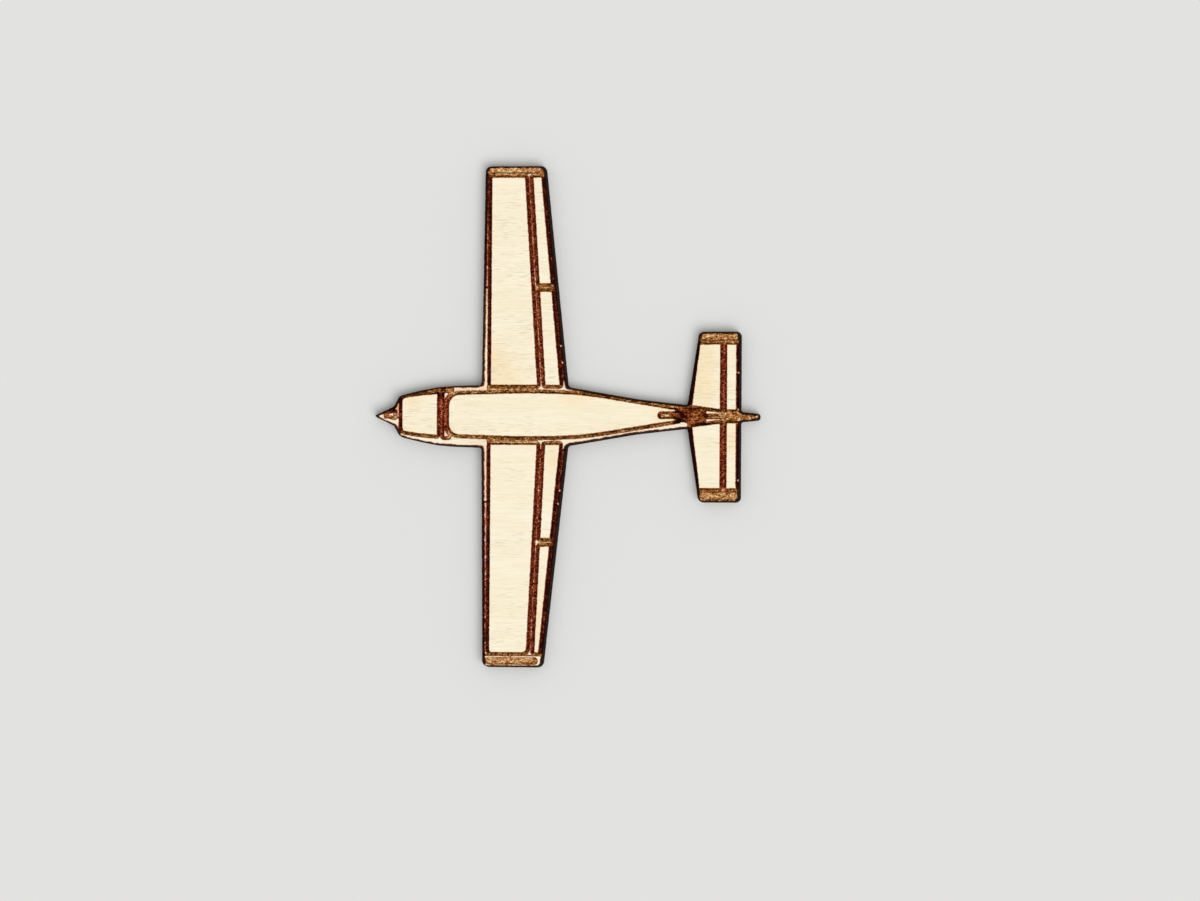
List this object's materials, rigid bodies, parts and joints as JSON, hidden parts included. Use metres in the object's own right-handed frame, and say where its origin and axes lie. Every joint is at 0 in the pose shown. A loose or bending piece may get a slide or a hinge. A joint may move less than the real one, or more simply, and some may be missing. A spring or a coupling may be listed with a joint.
{
  "type": "laser-cut plywood aeroplane cut-out",
  "caption": "Small flat plywood aeroplane seen in plan, laser cut and engraved with the panel lines of a low-wing light aircraft; a craft embellishment or toy blank.",
  "frame": {"origin": "centre of the bounding box at the back face", "axes": "+X runs aft along the fuselage, +Y to starboard along the span, +Z out of the engraved face"},
  "size_m": [0.058, 0.075, 0.002],
  "materials": {
    "bare_wood": "pale sanded birch veneer, unfinished",
    "core_wood": "cross-grained core veneer, browned at the laser-cut edge",
    "scorched_wood": "thin veneer ridge browned by laser engraving",
    "charred_glue": "charred glue line and wood fibre at the bottom of the engraving"
  },
  "bodies": {
    "root": {"back_veneer": "bare_wood", "back_glue_line": "charred_glue", "core_veneer": "core_wood", "face_glue_line": "charred_glue", "spinner_panel": "bare_wood", "cowl_panel": "bare_wood", "windscreen_panel": "bare_wood", "cabin_panel": "bare_wood", "fin_panel": "bare_wood", "rudder_panel": "bare_wood", "starboard_wing_panel": "bare_wood", "port_wing_panel": "bare_wood", "starboard_flap_panel": "bare_wood", "port_flap_panel": "bare_wood", "starboard_aileron_panel": "bare_wood", "port_aileron_panel": "bare_wood", "starboard_tailplane_panel": "bare_wood", "port_tailplane_panel": "bare_wood", "starboard_elevator_panel": "bare_wood", "port_elevator_panel": "bare_wood", "spinner_sliver": "scorched_wood", "starboard_cabin_rim": "bare_wood", "port_nose_rim": "bare_wood", "starboard_leading_rim": "scorched_wood", "port_leading_rim": "scorched_wood", "starboard_wing_tip_rim": "scorched_wood", "port_wing_tip_rim": "scorched_wood", "starboard_trailing_rim": "scorched_wood", "port_trailing_rim": "scorched_wood", "starboard_hinge_ridge": "scorched_wood", "port_hinge_ridge": "scorched_wood", "starboard_root_ridge": "scorched_wood", "port_root_ridge": "scorched_wood", "starboard_boom_rim": "bare_wood", "port_boom_rim": "bare_wood", "fin_root_slivers": "bare_wood", "starboard_tail_tip_rim": "scorched_wood", "port_tail_tip_rim": "scorched_wood"}
  },
  "joints": []
}
